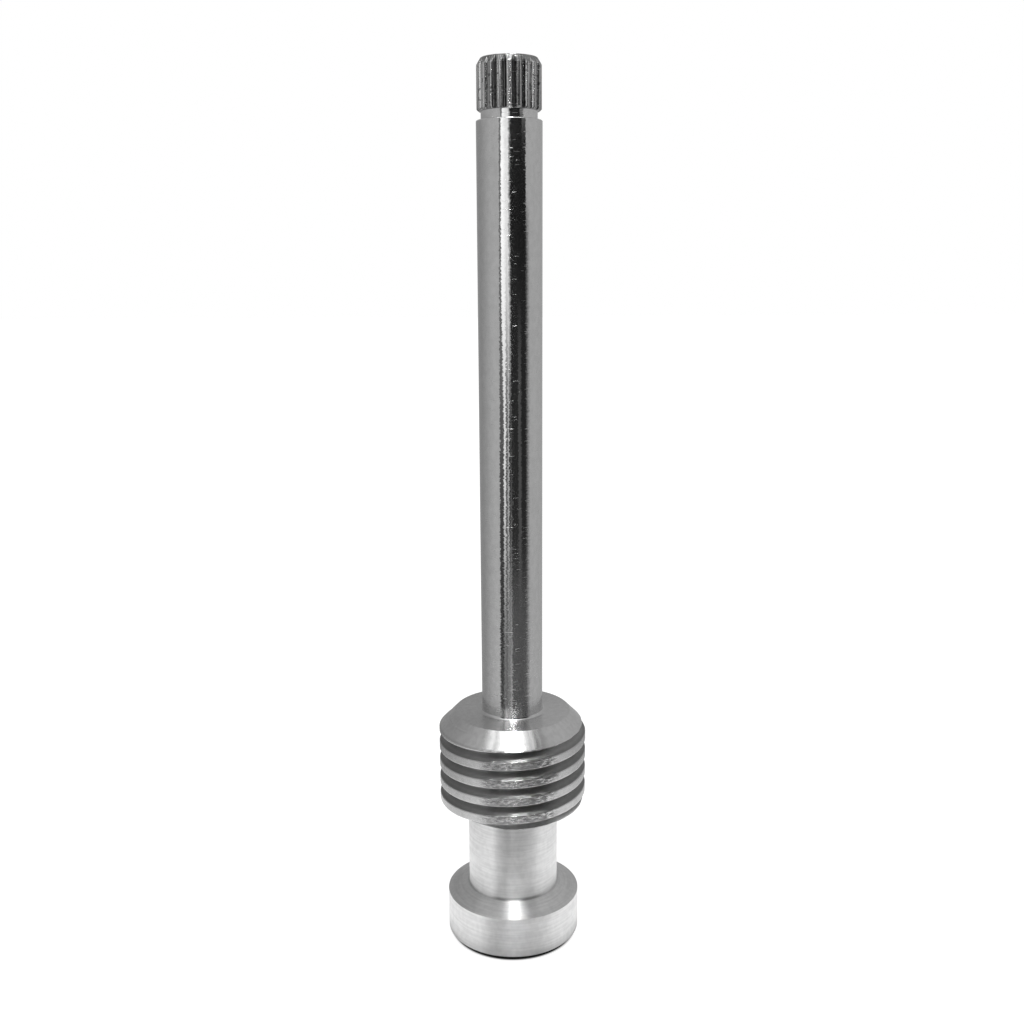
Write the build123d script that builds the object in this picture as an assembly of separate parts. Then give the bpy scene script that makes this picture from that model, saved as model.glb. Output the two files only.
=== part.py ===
from build123d import *
import math
import os

# Turned valve stem, one piece of bar: a splined end for the handle, a long plain stem, a
# threaded collar, a plain neck, and a disc foot that the valve's gate hangs on.
# Millimetres. +Z runs up the axis, and the origin is the centre of the foot's flat underside.

# ---- driving dimensions ----------------------------------------------------------------

# foot
foot_diameter = 18.2
foot_edge_run = 0.6  # bevel at the underside, along the radius
foot_edge_rise = 0.75  # the same bevel, along the axis
foot_rim_height = 6.3  # underside to the top of the straight rim
foot_cone_rise = 1.2  # the foot's top rises as a shallow cone from its rim to the neck

# neck
neck_diameter = 12.3
neck_length = 12.05  # top of the foot's cone to the collar's underside

# threaded collar
thread_diameter = 20.0
collar_length = 13.25
collar_lower_bevel = 0.8  # at 45 degrees
collar_face_diameter = 15.7  # flat ring round the stem's root
collar_cone_height = 2.15  # bevel from the flat ring down to the crests

# thread: one start, right hand
thread_pitch = 2.5
thread_depth = 1.4
crest_land = 1.1  # width of the crest between its broken edges
crest_edge_break = 0.1
flank_angle = 15.0  # from the plane square to the axis
thread_clocking = 1.43  # the groove's centre on the +X side, below the collar's underside

# stem
stem_diameter = 8.2
stem_length = 76.6  # collar face to the stem's top end
stem_root_fillet = 0.4
stem_top_bevel = 0.15

# undercut between the stem and the spline
undercut_diameter = 7.0
undercut_length = 1.1

# splined end
spline_diameter = 8.0
spline_length = 6.1
spline_teeth = 20
spline_clocking = 9.0  # degrees from +X to the first groove, so that a tooth faces -Y
spline_groove_depth = 0.42
spline_groove_angle = 75.0  # included angle between a groove's two sides
spline_root_flat = 0.12
spline_lead_run = 0.5  # lead-in bevel at the top, along the radius
spline_lead_rise = 0.8  # the same bevel, along the axis
spline_lower_bevel = 0.2  # at 45 degrees

# tapped hole for the handle's screw, at its core diameter
screw_hole_diameter = 3.3
screw_hole_depth = 11.0  # full diameter, above the drill point
screw_hole_mouth_bevel = 0.35
drill_point_angle = 118.0

# ---- heights worked out from them ------------------------------------------------------

neck_z = foot_rim_height + foot_cone_rise
collar_z = neck_z + neck_length
stem_z = collar_z + collar_length
undercut_z = stem_z + stem_length
spline_z = undercut_z + undercut_length
top_z = spline_z + spline_length

tool_clearance = 0.3  # how far a cutting tool's shape starts outside the metal
thread_run_in = 1.5 * thread_pitch  # collar left below its underside until the thread is cut


def revolved(points):
    """A solid of revolution about the axis, from (radius, height) points."""
    return revolve(make_face(Plane.XZ * Polyline(points, close=True)), Axis.Z)


def foot_and_neck():
    """The disc foot with its cone, and the neck up into the collar."""
    foot_r = foot_diameter / 2
    neck_r = neck_diameter / 2
    return revolved(
        [
            (0, 0),
            (foot_r - foot_edge_run, 0),
            (foot_r, foot_edge_rise),
            (foot_r, foot_rim_height),
            (neck_r, neck_z),
            (neck_r, collar_z),
            (0, collar_z),
        ]
    )


def collar_blank():
    """The collar before threading, left long below so that the tool can run in."""
    crest_r = thread_diameter / 2
    return revolved(
        [
            (0, collar_z - thread_run_in),
            (crest_r, collar_z - thread_run_in),
            (crest_r, stem_z - collar_cone_height),
            (collar_face_diameter / 2, stem_z),
            (0, stem_z),
        ]
    )


def thread_groove():
    """What a threading tool removes: ruled faces between helices, closed at both ends."""
    crest_r = thread_diameter / 2
    root_r = crest_r - thread_depth
    edge_r = crest_r - crest_edge_break
    edge_half = (thread_pitch - crest_land) / 2 - crest_edge_break
    mouth_half = edge_half + crest_edge_break + tool_clearance
    root_half = edge_half - (edge_r - root_r) * math.tan(math.radians(flank_angle))
    section = [
        (crest_r + tool_clearance, mouth_half),
        (edge_r, edge_half),
        (root_r, root_half),
        (root_r, -root_half),
        (edge_r, -edge_half),
        (crest_r + tool_clearance, -mouth_half),
    ]
    start_z = collar_z - thread_clocking
    travel = stem_z + thread_pitch / 4 - start_z
    last_turn = Pos(0, 0, start_z + travel) * Rot(0, 0, 360 * travel / thread_pitch)
    lines = [(Pos(0, 0, start_z + z) * Helix(thread_pitch, travel, r)).edge() for r, z in section]
    faces = [Face.make_surface_from_curves(a, b) for a, b in zip(lines, lines[1:] + lines[:1])]
    end = make_face(Plane.XZ * Polyline(section, close=True)).face()
    faces += [Pos(0, 0, start_z) * end, last_turn * end]
    return Solid(Shell(faces))


def neck_relief():
    """The long end of the collar, turned away to the neck after threading, with its bevel."""
    outer_r = thread_diameter / 2 + 2 * tool_clearance
    neck_r = neck_diameter / 2
    inner_edge_r = thread_diameter / 2 - collar_lower_bevel
    return revolved(
        [
            (neck_r, collar_z - thread_run_in - tool_clearance),
            (outer_r, collar_z - thread_run_in - tool_clearance),
            (outer_r, collar_z + outer_r - inner_edge_r),
            (inner_edge_r, collar_z),
            (neck_r, collar_z),
        ]
    )


def stem_and_handle_end():
    """The plain stem, its undercut and the round blank of the spline."""
    stem_r = stem_diameter / 2
    undercut_r = undercut_diameter / 2
    spline_r = spline_diameter / 2
    flare_r = stem_r + stem_root_fillet
    outline = Polyline(
        (flare_r, stem_z),
        (0, stem_z),
        (0, top_z),
        (spline_r - spline_lead_run, top_z),
        (spline_r, top_z - spline_lead_rise),
        (spline_r, spline_z + spline_lower_bevel),
        (spline_r - spline_lower_bevel, spline_z),
        (undercut_r, spline_z),
        (undercut_r, undercut_z),
        (stem_r - stem_top_bevel, undercut_z),
        (stem_r, undercut_z - stem_top_bevel),
        (stem_r, stem_z + stem_root_fillet),
    )
    centre = (flare_r, stem_z + stem_root_fillet)
    root_fillet = CenterArc(centre, stem_root_fillet, 180, 90)
    return revolve(make_face(Plane.XZ * (outline + root_fillet)), Axis.Z)


def spline_grooves():
    """The grooves between the teeth, open into the undercut and out of the top."""
    root_r = spline_diameter / 2 - spline_groove_depth
    outer_r = spline_diameter / 2 + tool_clearance
    root_half = spline_root_flat / 2
    slope = math.tan(math.radians(spline_groove_angle / 2))
    mouth_half = root_half + (outer_r - root_r) * slope
    section = Polyline(
        (root_r, -root_half),
        (outer_r, -mouth_half),
        (outer_r, mouth_half),
        (root_r, root_half),
        close=True,
    )
    start_z = spline_z - undercut_length / 2
    groove = extrude(Pos(0, 0, start_z) * make_face(section), top_z + tool_clearance - start_z)
    return [place * groove for place in PolarLocations(0, spline_teeth, spline_clocking)]


def screw_hole():
    """The handle screw's hole: drill point, core diameter and bevelled mouth."""
    hole_r = screw_hole_diameter / 2
    floor_z = top_z - screw_hole_depth
    point_depth = hole_r / math.tan(math.radians(drill_point_angle / 2))
    bevel = screw_hole_mouth_bevel
    return revolved(
        [
            (0, floor_z - point_depth),
            (hole_r, floor_z),
            (hole_r, top_z - bevel),
            (hole_r + bevel + tool_clearance, top_z + tool_clearance),
            (0, top_z + tool_clearance),
        ]
    )


collar = collar_blank() - thread_groove() - neck_relief()
handle_end = stem_and_handle_end() - spline_grooves() - screw_hole()
valve_stem = foot_and_neck() + collar + handle_end

os.makedirs("parts", exist_ok=True)
export_step(valve_stem, "parts/valve_stem.step")
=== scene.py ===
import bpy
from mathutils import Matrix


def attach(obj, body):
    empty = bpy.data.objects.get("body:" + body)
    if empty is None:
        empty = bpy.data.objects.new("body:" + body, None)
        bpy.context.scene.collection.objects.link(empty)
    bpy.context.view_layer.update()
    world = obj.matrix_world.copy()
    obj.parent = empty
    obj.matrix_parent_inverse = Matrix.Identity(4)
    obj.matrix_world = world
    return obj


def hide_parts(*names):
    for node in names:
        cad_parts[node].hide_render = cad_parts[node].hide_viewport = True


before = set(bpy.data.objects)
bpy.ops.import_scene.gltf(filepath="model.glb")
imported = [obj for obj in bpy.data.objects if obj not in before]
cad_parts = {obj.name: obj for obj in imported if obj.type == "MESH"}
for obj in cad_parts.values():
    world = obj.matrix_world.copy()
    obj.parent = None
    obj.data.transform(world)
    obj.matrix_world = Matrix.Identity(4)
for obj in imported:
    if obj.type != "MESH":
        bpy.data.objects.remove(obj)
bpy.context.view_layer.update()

import math
from types import SimpleNamespace

import bpy
import numpy as np
from mathutils import Matrix

MM = 0.001
PART = "valve_stem"

# ---- the turned surface, in millimetres: the solid's own form, with its edges deburred ---------
FOOT_RADIUS = 9.1
NECK_RADIUS = 6.15
COLLAR_FOOT = 19.55
COLLAR_CONE = 30.65  # where the crests end and the cone up to the collar's flat face starts
COLLAR_FACE = 32.8
STEM_RADIUS = 4.1
STEM_TOP = 109.4
UNDERCUT_RADIUS = 3.5
TOP = 116.6

THREAD_PITCH = 2.5
THREAD_CLOCKING = 1.43  # the groove's centre on the +X side, below the collar's underside
THREAD_RADIUS = 10.0
THREAD_ROOT_RADIUS = 8.6
GROOVE_SOFTNESS = 0.21  # how far the groove's corners are worn round

SPLINE_FOOT = 110.5
SPLINE_TEETH = 20
SPLINE_CLOCKING = 9.0  # degrees from +X to the first groove
SPLINE_RADIUS = 4.0
SPLINE_ROOT_RADIUS = 3.58
SPLINE_ROOT_HALF = 0.06
SPLINE_SLOPE = math.tan(math.radians(37.5))

HOLE_MOUTH = 116.25
HOLE_FLOOR = 105.6
DRILL_POINT = 104.609
SCREW_PITCH = 0.7
SCREW_CORE_RADIUS = 1.65
SCREW_DEPTH = 0.27
# heights from no thread to its full depth, at the bottom of the hole and at its mouth
SCREW_ENDS = ((HOLE_FLOOR + 0.8, HOLE_FLOOR + 2.0), (HOLE_MOUTH, HOLE_MOUTH - 0.35))

COLUMNS = 280  # faces round the part, fourteen to each tooth of the spline
SMALL_ARC_STEPS = 3
LARGE_ARC_STEPS = 7
LARGE_ARC = 0.1
THREAD_STEP = 0.09  # most between two rows along the thread
BEVEL_STEP = 0.12  # and on the collar's bevel and cone
FREE = 99.0  # no limit on how far rows lie apart
BLEND = 0.05  # over which the normals of two crossing surfaces run together
REACH = 0.01  # how far past its ends a groove is looked for
FINE = 1e-6  # lengths this close are the same
FINE_ANGLE = 1e-4  # radians, the step that slopes are measured over

# radius, height, rounding of that corner, and the most between rows on the way to the next one
OUTLINE = [
    (0.0, 0.0, 0.0, FREE),
    (FOOT_RADIUS - 0.6, 0.0, 0.08, FREE),
    (FOOT_RADIUS, 0.75, 0.10, FREE),
    (FOOT_RADIUS, 6.3, 0.04, FREE),
    (NECK_RADIUS, 7.5, 0.12, FREE),
    (NECK_RADIUS, COLLAR_FOOT, 0.05, FREE),
    (THREAD_RADIUS - 0.8, COLLAR_FOOT, 0.04, BEVEL_STEP),
    (THREAD_RADIUS, COLLAR_FOOT + 0.8, 0.06, THREAD_STEP),
    (THREAD_RADIUS, COLLAR_CONE, 0.06, BEVEL_STEP),
    (7.85, COLLAR_FACE, 0.06, FREE),
    (STEM_RADIUS, COLLAR_FACE, 0.4, FREE),
    (STEM_RADIUS, STEM_TOP, 0.13, FREE),
    (UNDERCUT_RADIUS, STEM_TOP, 0.06, FREE),
    (UNDERCUT_RADIUS, SPLINE_FOOT, 0.06, FREE),
    (SPLINE_RADIUS - 0.2, SPLINE_FOOT, 0.03, FREE),
    (SPLINE_RADIUS, SPLINE_FOOT + 0.2, 0.04, 0.5),
    (SPLINE_RADIUS, TOP - 0.8, 0.3, 0.1),
    (SPLINE_RADIUS - 0.5, TOP, 0.06, FREE),
    (SCREW_CORE_RADIUS + 0.35, TOP, 0.03, FREE),
    (SCREW_CORE_RADIUS, HOLE_MOUTH, 0.03, 0.14),
    (SCREW_CORE_RADIUS, HOLE_FLOOR, 0.05, FREE),
    (0.0, DRILL_POINT, 0.0, FREE),
]

# half the thread groove's width at its root, its broken edge and its mouth, with the radius there
GROOVE_SECTION = (
    (0.252, THREAD_ROOT_RADIUS),
    (0.6, THREAD_RADIUS - 0.1),
    (0.7, THREAD_RADIUS),
    (0.75, THREAD_RADIUS + 0.05),
)

NICKED_FROM = 9.1  # the radius beyond which the crests can be nicked
# degrees from +X, height, half width, half height and depth of the nicks in the crests' edges
NICKS = (
    (-60.0, 26.9, 0.8, 0.22, 0.16),
    (-68.5, 19.95, 0.6, 0.2, 0.18),
    (-67.0, 30.5, 0.9, 0.16, 0.14),
    (-52.0, 30.6, 0.5, 0.2, 0.12),
    (-101.0, 25.2, 0.35, 0.3, 0.08),
    (-101.0, 22.6, 0.3, 0.3, 0.08),
)

# ---- zones of the finish, in millimetres ----------------------------------------------------
# heights that a zone lies between
COLLAR_LEVELS = (COLLAR_FOOT - 0.05, COLLAR_FACE + 0.1)
CREST_LEVELS = (COLLAR_FOOT - 0.05, COLLAR_CONE + 0.15)
EDGE_LEVELS = (COLLAR_FOOT + 0.45, COLLAR_CONE - 0.15)
GROOVE_LEVELS = (COLLAR_FOOT + 0.05, COLLAR_CONE - 0.15)
WORN_FRONT = (-24.0, 34.0)  # degrees round the part, where use has scarred the crests
# heights over which a zone sets in, from nothing of it to all of it
SATIN_FROM = (COLLAR_FOOT + 0.05, COLLAR_FOOT - 0.15)  # neck and foot, going down
STEM_FROM = (COLLAR_FACE + 0.1, COLLAR_FACE + 0.3)
LOWER_STEM_FROM = (72.0, 44.0)
SPLINE_FROM = (SPLINE_FOOT - 0.1, SPLINE_FOOT + 0.1)
# painted shade in the corner at the neck's foot
CORNER_SHADE_FROM = (7.9, 7.5)
FOOT_BEVEL_FROM = (0.85, 0.7)
LEAD_BEVEL = TOP - 0.9
# radii over which a zone sets in
COLLAR_RADII = (STEM_RADIUS + 0.4, STEM_RADIUS + 0.7)
COLLAR_RIM_RADII = (7.6, 7.8)
CREST_RADII = (THREAD_RADIUS - 0.5, THREAD_RADIUS - 0.2)
EDGE_RADII = (THREAD_RADIUS - 0.01, THREAD_RADIUS - 0.1)
GROOVE_RADII = (THREAD_RADIUS - 0.3, THREAD_RADIUS - 0.6)
STEM_RADII = (STEM_RADIUS + 0.8, STEM_RADIUS + 0.5)
SPLINE_RADII = (2.9, 3.1)
TOOTH_ROOT_SHADE_RADII = (SPLINE_RADIUS - 0.1, SPLINE_ROOT_RADIUS + 0.04)
CORNER_SHADE_RADII = (NECK_RADIUS + 0.35, NECK_RADIUS + 0.05)
BUMP_DISTANCE = 0.03 * MM

# ---- camera ---------------------------------------------------------------------------------
CAMERA_BACK = 148.4 * MM
CAMERA_HEIGHT = 92.0 * MM
CAMERA_PITCH = math.radians(12.44)
CAMERA_ROLL = math.radians(-0.30)
FRAME_PIXELS = 1024
FOCAL_PIXELS = 1151.2
AXIS_PIXEL = (511.3, 520.0)
SENSOR = 36.0

# ---- studio ---------------------------------------------------------------------------------
CARD_SEGMENTS = 96
CARD_RADIUS = 60.0 * MM  # the ring of upright cards
CARD_HEIGHT = 128.0 * MM
LOW_CARD_HEIGHTS = (118.0, 101.0)  # mm, low and lowest, where the collar looks out to the lamp
# degrees round the part, 0 towards the camera and rising to its right
LOW_CARDS_FROM = 42.0  # to each side
LOWEST_CARDS = (49.0, 78.0)  # to each side of their middle
LOWEST_CARDS_MIDDLE = 7.0
GAP = (-39.0, -24.0)
WINDOW = (-24.0, 1.0)
WINDOW_STRIPS = ((-19.0, -16.0), (-10.5, -6.0))
WINDOW_SLANT = -0.08  # for each millimetre up
SLANT_LEVEL = 65.0  # mm, where gap and window stand at their degrees
FIGURE = ((-3.0, 3.0), (74.0, 52.0))  # into the dark figure from the left and from the right
FIGURE_STRIP = (26.0, 37.0)
FLOOR_CARD_RADIUS = 58.0 * MM
FLOOR_CARD_HEIGHT = 0.05 * MM
WORLD_TONE = 0.55
LAMP_HEIGHT = 600.0 * MM
LAMP_WIDE = 640.0 * MM
LAMP_DEEP = 340.0 * MM
LAMP_FORWARD = 240.0 * MM  # towards the camera
LAMP_ASIDE = -15.0 * MM
LAMP_WATTS = 1.5
CEILING_HEIGHT = 640.0 * MM
CEILING_RADIUS = 1500.0 * MM
CEILING_TONE = 0.55
CORE_HEIGHT = 590.0 * MM  # just under the lamp
CORE_WIDE = 1500.0 * MM
CORE_LINE = 27.0  # mm to the right of the axis
CORE_TONES = ((115.0, 35.0, 15.0), (48.0, 10.0, 60.0))  # from and to mm off the line, and tone added
CORE_LEFT = (-560.0, -190.0)  # mm along x, where it gains its light
CORE_RIGHT = (240.0, 480.0)  # and where it loses it
CORE_BACK = (-195.0, -145.0)  # mm along y, where it fades out
CORE_LEAST = 0.5
FLOOR_SIZE = 4.0
FLOOR_TONE = 0.8
FLOOR_LIFT = 0.9  # light that the floor gives by itself to the rays that see it directly
FLOOR_SHADOW_SHARE = 0.3  # of the light that falls on it, which carries the shadow
CONTACT_SHADOW = (8.4, 8.9)  # mm from the axis, from dark under the foot to clear of it


def plain_grey(tone):
    return (tone, tone, tone, 1.0)


class Nodes:
    """Adds shader nodes to one tree and links them."""

    def __init__(self, tree):
        self.tree = tree
        tree.nodes.clear()

    def add(self, kind, inputs=None, **settings):
        node = self.tree.nodes.new("ShaderNode" + kind)
        for name, value in settings.items():
            setattr(node, name, value)
        for name, value in (inputs or {}).items():
            self.put(node.inputs[name], value)
        return node

    def put(self, socket, value):
        if isinstance(value, bpy.types.NodeSocket):
            self.tree.links.new(value, socket)
        elif isinstance(value, bpy.types.Node):
            self.tree.links.new(value.outputs[0], socket)
        else:
            socket.default_value = value

    def math(self, operation, a, b=None, c=None):
        node = self.add("Math", operation=operation)
        for index, value in enumerate((a, b, c)):
            if value is not None:
                self.put(node.inputs[index], value)
        return node.outputs[0]

    def times(self, a, b, plus=None):
        """a times b, with a third number added where one is given."""
        operation = "MULTIPLY" if plus is None else "MULTIPLY_ADD"
        return self.math(operation, a, b, plus)

    def plus(self, a, b):
        return self.math("ADD", a, b)

    def distance(self, value, middle):
        """How far value lies from a plain number."""
        return self.math("ABSOLUTE", self.plus(value, -middle))

    def ramp(self, value, start, end, to_start=0.0, to_end=1.0):
        """A smooth step from one number to another as value goes from start to end."""
        node = self.add("MapRange", clamp=True, interpolation_type="SMOOTHSTEP")
        if start > end:
            start, end, to_start, to_end = end, start, to_end, to_start
        limits = {"From Min": start, "From Max": end, "To Min": to_start, "To Max": to_end}
        for name, number in {"Value": value, **limits}.items():
            self.put(node.inputs[name], number)
        return node.outputs["Result"]

    def band(self, value, low, high, soft):
        """1 where value lies from low to high, with edges that are soft wide."""
        rise = self.ramp(value, low - soft / 2, low + soft / 2)
        fall = self.ramp(value, high + soft / 2, high - soft / 2)
        return self.times(rise, fall)

    def mix(self, factor, a, b):
        """a where factor is 0 and b where it is 1, for plain numbers."""
        node = self.add("Mix", data_type="FLOAT", clamp_factor=True)
        for index, value in ((0, factor), (2, a), (3, b)):
            self.put(node.inputs[index], value)
        return node.outputs[0]

    def grey(self, value):
        """A plain grey of that strength."""
        return self.add("CombineColor", {0: value, 1: value, 2: value}).outputs[0]

    def length(self, x, y):
        return self.math("SQRT", self.plus(self.times(x, x), self.times(y, y)))

    def millimetres(self, vector):
        """x, y and z of a vector in metres, as millimetres."""
        return [self.times(part, 1 / MM) for part in self.add("SeparateXYZ", {0: vector}).outputs]

    def place(self):
        """x, y and z of the point that is lit, in millimetres."""
        return self.millimetres(self.add("NewGeometry").outputs["Position"])

    def azimuth(self, x, y):
        """Degrees round the part, 0 towards the camera and rising to its right."""
        return self.times(self.math("ARCTAN2", x, self.times(y, -1.0)), 180 / math.pi)

    def noise(self, x, y, z, detail, roughness=0.5):
        at = self.add("CombineXYZ", {0: x, 1: y, 2: z})
        settings = {"Vector": at, "Scale": 1.0, "Detail": detail, "Roughness": roughness}
        return self.add("TexNoise", settings).outputs[0]


def add_camera():
    data = bpy.data.cameras.new("camera")
    data.sensor_width = SENSOR
    data.lens = FOCAL_PIXELS * SENSOR / FRAME_PIXELS
    data.shift_x = (FRAME_PIXELS / 2 - AXIS_PIXEL[0]) / FRAME_PIXELS
    data.shift_y = (AXIS_PIXEL[1] - FRAME_PIXELS / 2) / FRAME_PIXELS
    data.clip_start = 1.0 * MM
    camera = bpy.data.objects.new("camera", data)
    bpy.context.scene.collection.objects.link(camera)
    turn = Matrix.Rotation(math.pi / 2 - CAMERA_PITCH, 4, "X") @ Matrix.Rotation(CAMERA_ROLL, 4, "Z")
    camera.matrix_world = Matrix.Translation((0, -CAMERA_BACK, CAMERA_HEIGHT)) @ turn
    bpy.context.scene.camera = camera


def new_tree(name):
    """A material of that name and the nodes to fill it with."""
    material = bpy.data.materials.new(name)
    material.use_nodes = True
    return material, Nodes(material.node_tree)


def seen_directly(nodes):
    """1 for rays that see the background itself: the camera's, and what metal or glass turns aside."""
    path = nodes.add("LightPath")
    seen = nodes.math("MAXIMUM", path.outputs["Is Camera Ray"], path.outputs["Is Glossy Ray"])
    return nodes.math("MAXIMUM", seen, path.outputs["Is Transmission Ray"])


def glow(nodes, strength):
    """A plain white light of that strength."""
    return nodes.add("Emission", {"Color": plain_grey(1.0), "Strength": strength})


def set_surface(nodes, shader):
    nodes.add("OutputMaterial", {"Surface": shader})


def add_card(make, name, material, **settings):
    """A card, made by one of Blender's primitives, that shows in reflections alone."""
    make(**settings)
    card = bpy.context.object
    card.name = name
    card.data.materials.append(material)
    for flag in ("visible_camera", "visible_diffuse", "visible_shadow", "visible_transmission"):
        setattr(card, flag, False)
    return card


def add_wall(name, material, radius, height):
    """A ring of upright card round the part."""
    middle = (0, 0, height / 2)
    sizes = {"vertices": CARD_SEGMENTS, "radius": radius, "depth": height, "location": middle}
    add_card(bpy.ops.mesh.primitive_cylinder_add, name, material, end_fill_type="NOTHING", **sizes)


def add_disc(name, material, radius, height):
    """A flat round card at that height."""
    sizes = {"vertices": CARD_SEGMENTS, "radius": radius, "location": (0, 0, height)}
    add_card(bpy.ops.mesh.primitive_circle_add, name, material, fill_type="NGON", **sizes)


def add_floor():
    bpy.ops.mesh.primitive_plane_add(size=FLOOR_SIZE, location=(0, 0, 0))
    floor = bpy.context.object
    floor.name = "floor"
    material, nodes = new_tree("floor_white")
    plain = nodes.add("BsdfDiffuse", {"Color": plain_grey(FLOOR_TONE)})
    lit = nodes.add("BsdfDiffuse", {"Color": plain_grey(FLOOR_SHADOW_SHARE)})
    x, y, _ = nodes.place()
    lift = glow(nodes, nodes.ramp(nodes.length(x, y), *CONTACT_SHADOW, 0.0, FLOOR_LIFT))
    white = nodes.add("AddShader", {0: lit, 1: lift})
    set_surface(nodes, nodes.add("MixShader", {0: seen_directly(nodes), 1: plain, 2: white}))
    floor.data.materials.append(material)


def add_world():
    world = bpy.data.worlds.new("studio")
    bpy.context.scene.world = world
    world.use_nodes = True
    nodes = Nodes(world.node_tree)
    strength = nodes.mix(seen_directly(nodes), WORLD_TONE, 1.0)
    background = nodes.add("Background", {"Color": plain_grey(1.0), "Strength": strength})
    nodes.add("OutputWorld", {"Surface": background})


def add_lamp():
    lamp = bpy.data.lights.new("softbox", "AREA")
    lamp.shape = "RECTANGLE"
    lamp.size = LAMP_WIDE
    lamp.size_y = LAMP_DEEP
    lamp.energy = LAMP_WATTS
    softbox = bpy.data.objects.new("softbox", lamp)
    softbox.location = (LAMP_ASIDE, -LAMP_FORWARD, LAMP_HEIGHT)
    bpy.context.scene.collection.objects.link(softbox)


def window_tone(nodes, azimuth, slanted, height):
    """The window: wide and bright high up, and two upright strips of light lower down."""
    far, near = WINDOW_STRIPS
    near_light = nodes.ramp(height, 20.0, 45.0, 0.25, 0.62)
    low = nodes.mix(nodes.band(slanted, *near, 2.5), 0.14, near_light)
    beside = nodes.ramp(slanted, near[1], near[1] + 2.5)
    low = nodes.mix(beside, low, nodes.ramp(height, 45.0, 30.0, 0.03, 0.25))
    far_light = nodes.ramp(height, 20.0, 60.0, 0.15, 1.15)
    low = nodes.mix(nodes.ramp(slanted, far[1], far[0]), low, far_light)
    bright = nodes.ramp(azimuth, -27.0, -10.0, 1.6, 1.2)
    return nodes.mix(nodes.ramp(height, 64.0, 100.0), low, bright)


def figure_tone(nodes, azimuth, height):
    """The dark figure: darkest high up, with a paler upright strip."""
    top = nodes.ramp(height, 100.0, 80.0, 0.012, 0.024)
    tone = nodes.math("MAXIMUM", top, nodes.ramp(height, 42.0, 32.0, 0.0, 0.1))
    strip = nodes.ramp(height, 90.0, 72.0, 0.012, 0.1)
    return nodes.mix(nodes.band(azimuth, *FIGURE_STRIP, 4.0), tone, strip)


def add_upright_cards():
    """Grey walls, a dark figure right of the camera, and a window on its left with a gap beside it."""
    material, nodes = new_tree("upright_card_tones")
    x, y, height = nodes.place()
    azimuth = nodes.azimuth(x, y)
    slanted = nodes.times(height, WINDOW_SLANT, plus=nodes.plus(azimuth, -WINDOW_SLANT * SLANT_LEVEL))
    left_wall = nodes.ramp(azimuth, -130.0, -50.0, 0.34, 0.58)
    right_wall = nodes.ramp(azimuth, 95.0, 170.0, 0.54, 0.44)
    tone = nodes.mix(nodes.ramp(azimuth, 52.0, 76.0), left_wall, right_wall)
    tone = nodes.mix(nodes.band(slanted, *GAP, 3.0), tone, nodes.ramp(height, 30.0, 85.0, 0.03, 0.18))
    shifted = nodes.plus(slanted, nodes.ramp(height, 60.0, 95.0, 0.0, 9.0))
    window = window_tone(nodes, azimuth, slanted, height)
    tone = nodes.mix(nodes.band(shifted, *WINDOW, 3.0), tone, window)
    in_figure = nodes.times(*[nodes.ramp(azimuth, *side) for side in FIGURE])
    tone = nodes.mix(in_figure, tone, figure_tone(nodes, azimuth, height))

    # open above the low cards
    lowest = nodes.band(nodes.distance(azimuth, LOWEST_CARDS_MIDDLE), *LOWEST_CARDS, 1.0)
    above = nodes.math("GREATER_THAN", height, nodes.mix(lowest, *LOW_CARD_HEIGHTS))
    aside = nodes.math("GREATER_THAN", nodes.math("ABSOLUTE", azimuth), LOW_CARDS_FROM)
    open_air = nodes.add("BsdfTransparent")
    shaders = {0: nodes.times(above, aside), 1: glow(nodes, tone), 2: open_air}
    set_surface(nodes, nodes.add("MixShader", shaders))
    add_wall("upright_cards", material, CARD_RADIUS, CARD_HEIGHT)


def add_overhead_cards():
    """A grey ceiling with far walls, and the lamp's hot core, brightest along one line."""
    material, nodes = new_tree("ceiling_card_tone")
    set_surface(nodes, glow(nodes, CEILING_TONE))
    add_disc("ceiling_card", material, CEILING_RADIUS, CEILING_HEIGHT)
    add_wall("far_walls", material, CEILING_RADIUS, CEILING_HEIGHT)

    material, nodes = new_tree("lamp_core_tones")
    x, y, _ = nodes.place()
    off = nodes.distance(x, CORE_LINE)
    tone = nodes.mix(nodes.ramp(x, *CORE_RIGHT), nodes.ramp(x, *CORE_LEFT, 0.6, 2.8), CORE_LEAST)
    for start, end, more in CORE_TONES:
        tone = nodes.plus(nodes.ramp(off, start, end, 0.0, more), tone)
    tone = nodes.times(tone, nodes.ramp(y, *CORE_BACK, 1.0, 0.04))
    set_surface(nodes, glow(nodes, nodes.math("MAXIMUM", tone, CORE_LEAST)))
    place = {"size": 1.0, "location": (0, -LAMP_FORWARD, CORE_HEIGHT)}
    core = add_card(bpy.ops.mesh.primitive_plane_add, "lamp_core_card", material, **place)
    core.scale = (CORE_WIDE, LAMP_DEEP, 1.0)


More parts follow.
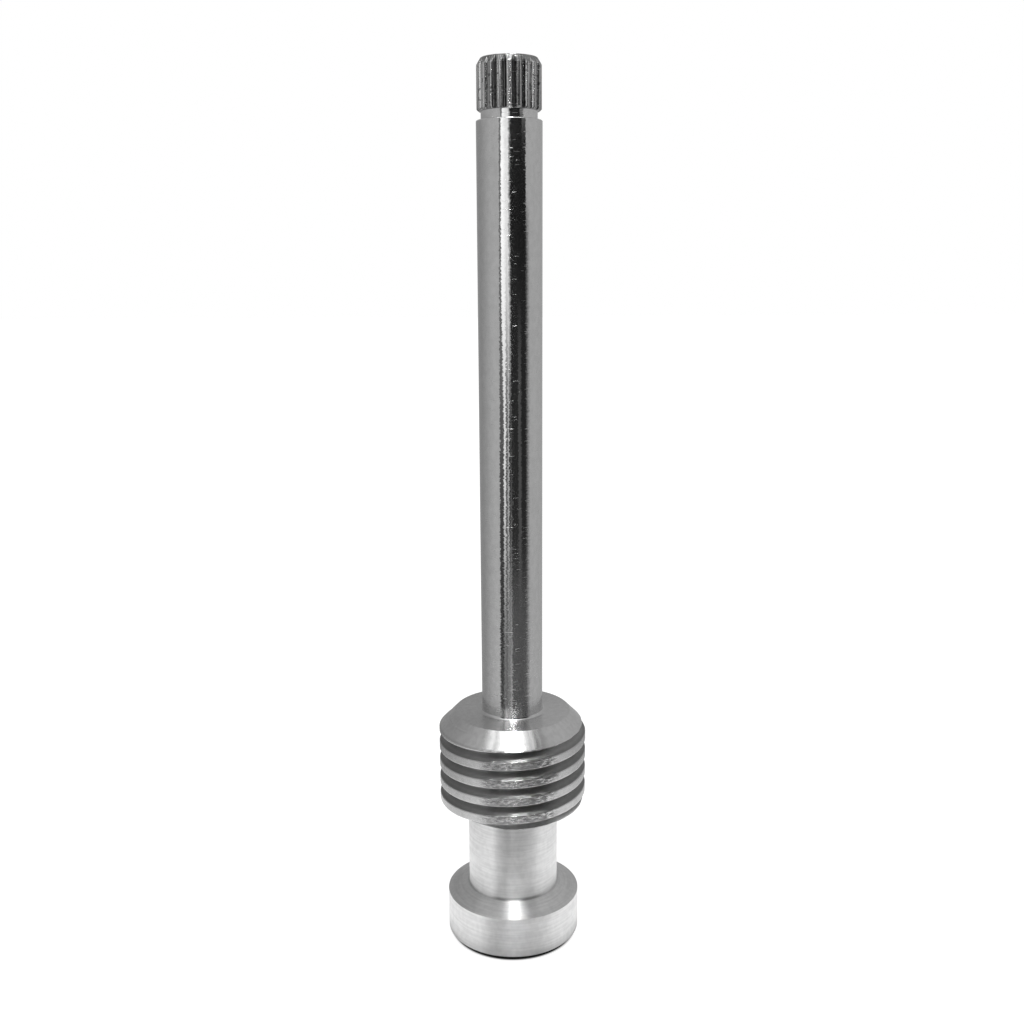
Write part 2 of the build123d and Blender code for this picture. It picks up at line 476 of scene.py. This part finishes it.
def add_floor_card():
    """What neck and foot see on the floor: white, greyer towards the camera, and dark under the foot as
    a painted shadow.
    """
    material, nodes = new_tree("floor_card_tones")
    x, y, _ = nodes.place()
    azimuth = nodes.azimuth(x, y)
    out = nodes.length(x, y)
    left = nodes.ramp(azimuth, -52.0, -12.0, 1.32, 0.58)
    tone = nodes.plus(left, nodes.ramp(azimuth, 4.0, 62.0, 0.0, 0.74))

    # what the neck sees lies further out than what the foot sees
    for_neck = nodes.ramp(out, 17.0, 24.0)
    tone = nodes.times(tone, nodes.mix(for_neck, 1.0, 1.14))
    tone = nodes.times(nodes.times(nodes.band(azimuth, 8.0, 10.0, 1.5), for_neck), 0.16, plus=tone)
    middle = nodes.times(nodes.ramp(azimuth, -14.0, 10.0), nodes.ramp(azimuth, 52.0, 24.0, 0.0, 0.34))
    tone = nodes.times(for_neck, middle, plus=tone)

    # the collar sees what lies furthest out: darker sides, a bright spot, and the figure's foot
    sides = nodes.ramp(nodes.distance(azimuth, 15.0), 60.0, 105.0, 1.0, 0.56)
    tone = nodes.times(tone, nodes.mix(nodes.ramp(out, 42.0, 48.0), 1.0, sides))
    spot = nodes.times(nodes.band(azimuth, -2.0, 16.0, 8.0), nodes.ramp(out, 38.0, 42.0))
    tone = nodes.mix(spot, tone, 3.0)
    figure = nodes.times(nodes.band(azimuth, -1.0, 50.0, 8.0), nodes.ramp(out, 40.0, 46.0))
    tone = nodes.mix(figure, tone, 0.06)
    # painted shadow: the floor goes dark under and around the foot
    tone = nodes.mix(nodes.ramp(out, 8.7, 12.0), 0.01, tone)
    set_surface(nodes, glow(nodes, tone))
    add_disc("floor_card", material, FLOOR_CARD_RADIUS, FLOOR_CARD_HEIGHT)


def outline_rows():
    """Radius, height and outward normal of each row of the surface, from the axis round to the axis."""
    corners = np.array([corner[:2] for corner in OUTLINE])
    ways = np.diff(corners, axis=0)
    ways /= np.linalg.norm(ways, axis=1)[:, None]
    normals = np.column_stack((ways[:, 1], -ways[:, 0]))
    rows = [(*corners[0], *normals[0])]
    for index, way in enumerate(ways):
        start = np.array(rows[-1][:2])
        end = corners[index + 1]
        rounding = OUTLINE[index + 1][2]
        arc = []
        if rounding > 0:
            after = ways[index + 1]
            turn = math.atan2(way[0] * after[1] - way[1] * after[0], way @ after)
            side = math.copysign(1.0, turn)
            end = end - way * rounding * math.tan(abs(turn) / 2)
            middle = end - side * rounding * normals[index]
            steps = LARGE_ARC_STEPS if rounding >= LARGE_ARC else SMALL_ARC_STEPS
            for step in range(1, steps + 1):
                angle = turn * step / steps
                cosine, sine = math.cos(angle), math.sin(angle)
                normal = np.array(((cosine, -sine), (sine, cosine))) @ normals[index]
                arc.append((*(middle + side * rounding * normal), *normal))
        count = max(1, math.ceil(np.linalg.norm(end - start) / OUTLINE[index][3]))
        for step in range(1, count + 1):
            rows.append((*(start + (end - start) * step / count), *normals[index]))
        rows += arc
    return np.array(rows)


def worn_groove():
    """The thread groove's radius against the distance from its centre, its corners worn round."""
    distance = np.linspace(-THREAD_PITCH / 2, THREAD_PITCH / 2, 1001)
    half, radius = zip(*GROOVE_SECTION)
    section = np.interp(np.abs(distance), (0.0, *half), (radius[0], *radius))
    spread = int(GROOVE_SOFTNESS / (distance[1] - distance[0]))
    kernel = np.hanning(2 * spread + 3)
    section = np.convolve(np.pad(section, spread + 1, "edge"), kernel / kernel.sum(), "valid")
    return distance, section, np.gradient(section, distance)


def thread_surface(around, height):
    """Radius of the thread groove and its slopes round the part and along the axis."""
    distance, section, slope = worn_groove()
    centre = COLLAR_FOOT - THREAD_CLOCKING + THREAD_PITCH * around / (2 * math.pi)
    off = (height - centre + THREAD_PITCH / 2) % THREAD_PITCH - THREAD_PITCH / 2
    along = np.interp(off, distance, slope)
    return np.interp(off, distance, section), -along * THREAD_PITCH / (2 * math.pi), along


def spline_radius(off):
    """Radius of a spline groove's root and side, by the angle off its middle."""
    side = (SPLINE_ROOT_RADIUS * SPLINE_SLOPE - SPLINE_ROOT_HALF) / (
        np.cos(off) * SPLINE_SLOPE - np.sin(off)
    )
    return np.maximum(SPLINE_ROOT_RADIUS / np.cos(off), side)


def spline_surface(around):
    """Radius of the spline's grooves and its slope round the part."""
    tooth = 2 * math.pi / SPLINE_TEETH
    off = (around - math.radians(SPLINE_CLOCKING) + tooth / 2) % tooth - tooth / 2
    radius = spline_radius(np.abs(off))
    rise = (spline_radius(np.abs(off) + FINE_ANGLE) - radius) / FINE_ANGLE
    return radius, rise * np.sign(off)


def stacked(out, turn, up):
    """Vectors from their parts outward, round the part and up."""
    return np.stack(np.broadcast_arrays(out, turn, up), axis=-1)


def unit(vectors):
    return vectors / np.linalg.norm(vectors, axis=-1)[..., None]


def cut_into(radius, normals, cut, cut_normals, where):
    """The surface where a groove is cut into it, and its normals."""
    deeper = np.where(where, radius - cut, -1.0)
    share = np.clip(deeper / BLEND * 0.5 + 0.5, 0.0, 1.0)[..., None]
    share[deeper <= -BLEND] = 0.0
    share[~where] = 0.0
    mixed = normals * (1 - share) + cut_normals * share
    return np.where(deeper > 0, cut, radius), mixed


def nicked(radius, normals, angle, height):
    """The crests' surface with its nicks pressed in."""
    crests = (radius > NICKED_FROM) & (height > COLLAR_FOOT)
    for azimuth, level, half_wide, half_high, depth in NICKS:
        off = (angle - math.radians(azimuth) + math.pi) % (2 * math.pi) - math.pi
        along = off * THREAD_RADIUS / half_wide
        up = (height - level) / half_high
        dip = np.where(crests, depth * np.exp(-along * along - up * up), 0.0)
        radius = radius - dip
        normals = normals + stacked(0.0, -2 * along / half_wide * dip, -2 * up / half_high * dip)
    return radius, normals


def tapped(radius, normals, angle, height, where):
    """The screw hole's wall with its thread, cut outwards from the core."""
    wave = height * 2 * math.pi / SCREW_PITCH - angle
    full = np.ones_like(height)
    for nothing, whole in SCREW_ENDS:
        full *= np.clip((height - nothing) / (whole - nothing), 0.0, 1.0)
    cut = SCREW_DEPTH * full * (0.5 - 0.5 * np.cos(wave))
    rise = SCREW_DEPTH * full * 0.5 * np.sin(wave)
    inward = unit(stacked(-1.0, -rise / SCREW_CORE_RADIUS, rise * 2 * math.pi / SCREW_PITCH))
    deep = (where & (full > 0))[..., None]
    return np.where(where, radius + cut, radius), np.where(deep, inward, normals)


def cut_surface():
    """Radius, height, angle and normal (outward, round the part, up) of each point, row by row."""
    rows = outline_rows()
    around = np.arange(COLUMNS) * 2 * math.pi / COLUMNS
    radius, height, out, up = [np.repeat(rows[:, k, None], COLUMNS, axis=1) for k in range(4)]
    angle = np.repeat(around[None, :], len(rows), axis=0)
    normals = stacked(out, 0.0, up)

    groove, turn_slope, rise_slope = thread_surface(angle, height)
    on_collar = (height > COLLAR_FOOT - REACH) & (height < COLLAR_FACE + REACH)
    groove_normals = unit(stacked(1.0, -turn_slope / groove, -rise_slope))
    where = on_collar & (radius > THREAD_ROOT_RADIUS)
    radius, normals = cut_into(radius, normals, groove, groove_normals, where)
    radius, normals = nicked(radius, normals, angle, height)

    hole_wall = np.abs(radius - SCREW_CORE_RADIUS) < FINE
    radius, normals = tapped(radius, normals, angle, height, hole_wall)

    teeth, slope = spline_surface(angle)
    tooth_normals = unit(stacked(1.0, -slope / teeth, 0.0))
    on_spline = (height > SPLINE_FOOT - REACH) & (radius > SPLINE_ROOT_RADIUS - REACH)
    where = on_spline & (out > -0.5)  # and not facing inwards
    radius, normals = cut_into(radius, normals, teeth, tooth_normals, where)
    return radius, height, angle, unit(normals)


def ring_faces(rings):
    """Faces of a closed skin: a point, that many rings of points, and a last point."""
    here = np.arange(COLUMNS)
    beside = (here + 1) % COLUMNS
    faces = []
    for low in range(1, 1 + (rings - 1) * COLUMNS, COLUMNS):
        high = low + COLUMNS
        faces += np.column_stack((low + here, low + beside, high + beside, high + here)).tolist()
    top = 1 + (rings - 1) * COLUMNS
    last = np.full_like(here, top + COLUMNS)
    faces += np.column_stack((np.zeros_like(here), 1 + beside, 1 + here)).tolist()
    faces += np.column_stack((top + here, top + beside, last)).tolist()
    return faces


def turned_mesh():
    """The part's surface as one closed mesh, with the normals of its true form."""
    radius, height, angle, normals = cut_surface()
    cosine, sine = np.cos(angle), np.sin(angle)
    points = stacked(radius * cosine, radius * sine, height) * MM
    out, turn, up = [normals[..., k] for k in range(3)]
    facing = stacked(out * cosine - turn * sine, out * sine + turn * cosine, up)
    # the first and last rows are single points on the axis
    points = np.concatenate((points[0, :1], points[1:-1].reshape(-1, 3), points[-1, :1]))
    facing = np.concatenate(([[0, 0, -1]], facing[1:-1].reshape(-1, 3), [[0, 0, 1]]))
    mesh = bpy.data.meshes.new("turned_stem")
    mesh.from_pydata(points.tolist(), [], ring_faces(len(radius) - 2))
    mesh.polygons.foreach_set("use_smooth", [True] * len(mesh.polygons))
    mesh.normals_split_custom_set_from_vertices(facing.tolist())
    return mesh


def finish_zones(nodes, at):
    """1 in each zone of the finish, or of the painted shade in the corner at the neck's foot, and 0
    outside it.
    """
    band, ramp, times = nodes.band, nodes.ramp, nodes.times
    zone = SimpleNamespace()
    zone.satin = ramp(at.z, *SATIN_FROM)
    zone.collar = times(band(at.z, *COLLAR_LEVELS, 0.1), ramp(at.out, *COLLAR_RADII))
    zone.crest = times(ramp(at.out, *CREST_RADII), band(at.z, *CREST_LEVELS, 0.3))
    zone.front = band(nodes.azimuth(at.x, at.y), *WORN_FRONT, 14.0)
    zone.worn = times(zone.crest, nodes.mix(zone.front, 0.06, 1.0))
    zone.edge = times(ramp(at.out, *EDGE_RADII), band(at.z, *EDGE_LEVELS, 0.3))
    zone.groove = times(ramp(at.out, *GROOVE_RADII), band(at.z, *GROOVE_LEVELS, 0.3))
    zone.stem = times(ramp(at.z, *STEM_FROM), ramp(at.out, *STEM_RADII))
    zone.lower_stem = times(ramp(at.z, *LOWER_STEM_FROM), zone.stem)
    zone.spline = times(ramp(at.z, *SPLINE_FROM), ramp(at.out, *SPLINE_RADII))
    # painted shade: the corner where the neck meets the foot's cone
    zone.foot_corner = times(ramp(at.z, *CORNER_SHADE_FROM), ramp(at.out, *CORNER_SHADE_RADII))
    return zone


def finish_patterns(nodes, at):
    """The noises of the finish: in space, or laid round the part at a radius of one."""

    def in_space(x, y, z, *detail):
        return nodes.noise(nodes.times(at.x, x), nodes.times(at.y, y), nodes.times(at.z, z), *detail)

    def laid_round(turns, upward, *detail, along=at.z):
        around = [nodes.times(part, turns) for part in (at.round_x, at.round_y)]
        return nodes.noise(*around, nodes.times(along, upward), *detail)

    # a coordinate that runs across the turning lines on every face
    across = nodes.times(at.out, 1.7, plus=at.z)
    return SimpleNamespace(
        lines=laid_round(1.5, 3.2, 1.0, along=across),
        blotches=in_space(1.6, 1.6, 1.1, 2.0),
        streaks=laid_round(21.0, 0.06, 2.0, 0.7),
        pits=laid_round(12.0, 2.2, 1.0),
        wear=laid_round(16.0, 3.6, 1.0),
        chatter=laid_round(2.2, 4.5, 1.0, 0.6),
        grain=in_space(5.0, 5.0, 4.0, 1.0),
        ticks=laid_round(3.2, 8.0, 0.0),
    )


def finish_normal(nodes, at, zone, pattern):
    """Turning lines and wear as bumps, on a surface whose lines each lean a little to one side."""
    swing = nodes.mix(zone.lower_stem, nodes.ramp(at.z, 112.0, 70.0, 0.02, 0.08), 0.12)
    swing = nodes.mix(zone.satin, swing, 0.04)
    swing = nodes.mix(zone.collar, swing, 0.05)
    lean = nodes.times(nodes.plus(pattern.chatter, -0.5), swing)
    for noise, where, amount in (
        (pattern.grain, zone.stem, 0.09),
        (pattern.wear, zone.worn, 0.6),
        (pattern.streaks, zone.spline, 0.9),
    ):
        lean = nodes.times(nodes.times(nodes.plus(noise, -0.5), where), amount, plus=lean)
    side = nodes.add("CombineXYZ", {0: nodes.times(at.round_y, -1.0), 1: at.round_x, 2: 0.0})
    leaning = nodes.add("VectorMath", {0: side, "Scale": lean}, operation="SCALE")
    facing = nodes.add("NewGeometry").outputs["Normal"]
    normal = nodes.add("VectorMath", {0: facing, 1: leaning}, operation="ADD")

    depth = nodes.mix(zone.satin, 0.03, 0.22)
    depth = nodes.mix(zone.lower_stem, depth, 0.3)
    depth = nodes.mix(zone.collar, depth, 0.12)
    lines = nodes.times(pattern.lines, depth)
    height = nodes.times(nodes.times(pattern.wear, zone.worn), 1.6, plus=lines)
    bump = {"Strength": 1.0, "Distance": BUMP_DISTANCE, "Height": height, "Normal": normal}
    return nodes.add("Bump", bump)


def finish_roughness(nodes, at, zone, pattern):
    """How much each finish blurs what it mirrors."""
    streaked = nodes.ramp(pattern.streaks, 0.3, 0.7, 0.17, 0.25)
    lead = nodes.times(zone.spline, nodes.ramp(at.z, LEAD_BEVEL, LEAD_BEVEL + 0.2))
    scratch = nodes.times(nodes.ramp(pattern.ticks, 0.73, 0.8), zone.stem)
    rough = nodes.mix(zone.satin, 0.11, 0.38)
    for where, value in (
        (zone.lower_stem, 0.16),
        (zone.collar, nodes.ramp(at.out, *COLLAR_RIM_RADII, 0.26, 0.18)),
        (zone.crest, 0.26),
        (zone.groove, 0.4),
        (zone.edge, 0.5),
        (zone.spline, streaked),
        (lead, 0.7),
        (scratch, 0.36),
        (nodes.ramp(at.z, *FOOT_BEVEL_FROM), 0.2),
    ):
        rough = nodes.mix(where, rough, value)
    return rough


def finish_tone(nodes, at, zone, pattern):
    """How bright the metal itself is, with its stains and worn places, and with painted shade in the
    spline's tooth roots, in the corner at the neck's foot and along the foot's bottom edge.
    """
    ramp = nodes.ramp
    lead = nodes.times(zone.spline, ramp(at.z, LEAD_BEVEL, LEAD_BEVEL + 0.4))
    # painted shade: the metal is darker in the spline's tooth roots, where shade falls between the
    # teeth
    tooth_root_shade = nodes.times(zone.spline, ramp(at.out, *TOOTH_ROOT_SHADE_RADII))
    pitted = nodes.times(zone.spline, ramp(pattern.pits, 0.4, 0.3))
    tone = nodes.mix(zone.satin, 0.62, 0.72)
    for where, value in (
        (zone.groove, nodes.mix(zone.front, 0.92, 0.72)),
        (zone.crest, 0.5),
        (zone.worn, ramp(pattern.wear, 0.3, 0.7, 0.32, 0.6)),
        (zone.edge, ramp(at.out, 9.3, 9.9, 0.46, 0.3)),
        (zone.spline, ramp(pattern.streaks, 0.36, 0.62, 0.2, 0.52)),
    ):
        tone = nodes.mix(where, tone, value)
    # painted shade in the spline's tooth roots
    tone = nodes.times(tone, nodes.mix(tooth_root_shade, 1.0, 0.4))
    tone = nodes.times(tone, nodes.mix(pitted, 1.0, 0.45))
    tone = nodes.mix(lead, tone, ramp(pattern.streaks, 0.4, 0.6, 0.26, 0.46))
    for share in (
        ramp(pattern.blotches, 0.3, 0.7, 0.95, 1.03),
        nodes.mix(zone.satin, 1.0, ramp(pattern.lines, 0.35, 0.65, 0.94, 1.04)),
        ramp(pattern.grain, 0.13, 0.2, 0.85, 1.0),
        # painted shade in the corner at the neck's foot, deepest towards the front
        nodes.mix(zone.foot_corner, 1.0, nodes.mix(zone.front, 0.8, 0.5)),
        # painted shade: darker towards the foot's bottom edge, where the floor's contact shadow falls
        ramp(at.z, 0.05, 0.9, 0.6, 1.0),
    ):
        tone = nodes.times(tone, share)
    return tone


def turned_metal():
    """A near mirror on the stem, a satin cut on neck and foot, and worn metal on the thread."""
    material, nodes = new_tree("turned_metal_bright")
    x, y, z = nodes.millimetres(nodes.add("TexCoord").outputs["Object"])
    out = nodes.length(x, y)
    round_x, round_y = [nodes.math("DIVIDE", part, out) for part in (x, y)]
    at = SimpleNamespace(x=x, y=y, z=z, out=out, round_x=round_x, round_y=round_y)
    parts = (at, finish_zones(nodes, at), finish_patterns(nodes, at))
    looks = {
        "Metallic": 1.0,
        "Anisotropic": 0.93,
        "Anisotropic Rotation": 0.25,
        "Tangent": nodes.add("Tangent", direction_type="RADIAL", axis="Z"),
        "Normal": finish_normal(nodes, *parts),
        "Roughness": finish_roughness(nodes, *parts),
        "Base Color": nodes.grey(finish_tone(nodes, *parts)),
    }
    set_surface(nodes, nodes.add("BsdfPrincipled", looks))
    return material


def add_stem():
    stem = bpy.data.objects.new("turned_stem", turned_mesh())
    bpy.context.scene.collection.objects.link(stem)
    stem.data.materials.append(turned_metal())
    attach(stem, "root")
    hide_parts(PART)


add_camera()
add_floor()
add_world()
add_lamp()
add_upright_cards()
add_overhead_cards()
add_floor_card()
add_stem()
bpy.context.scene.view_settings.view_transform = "Standard"
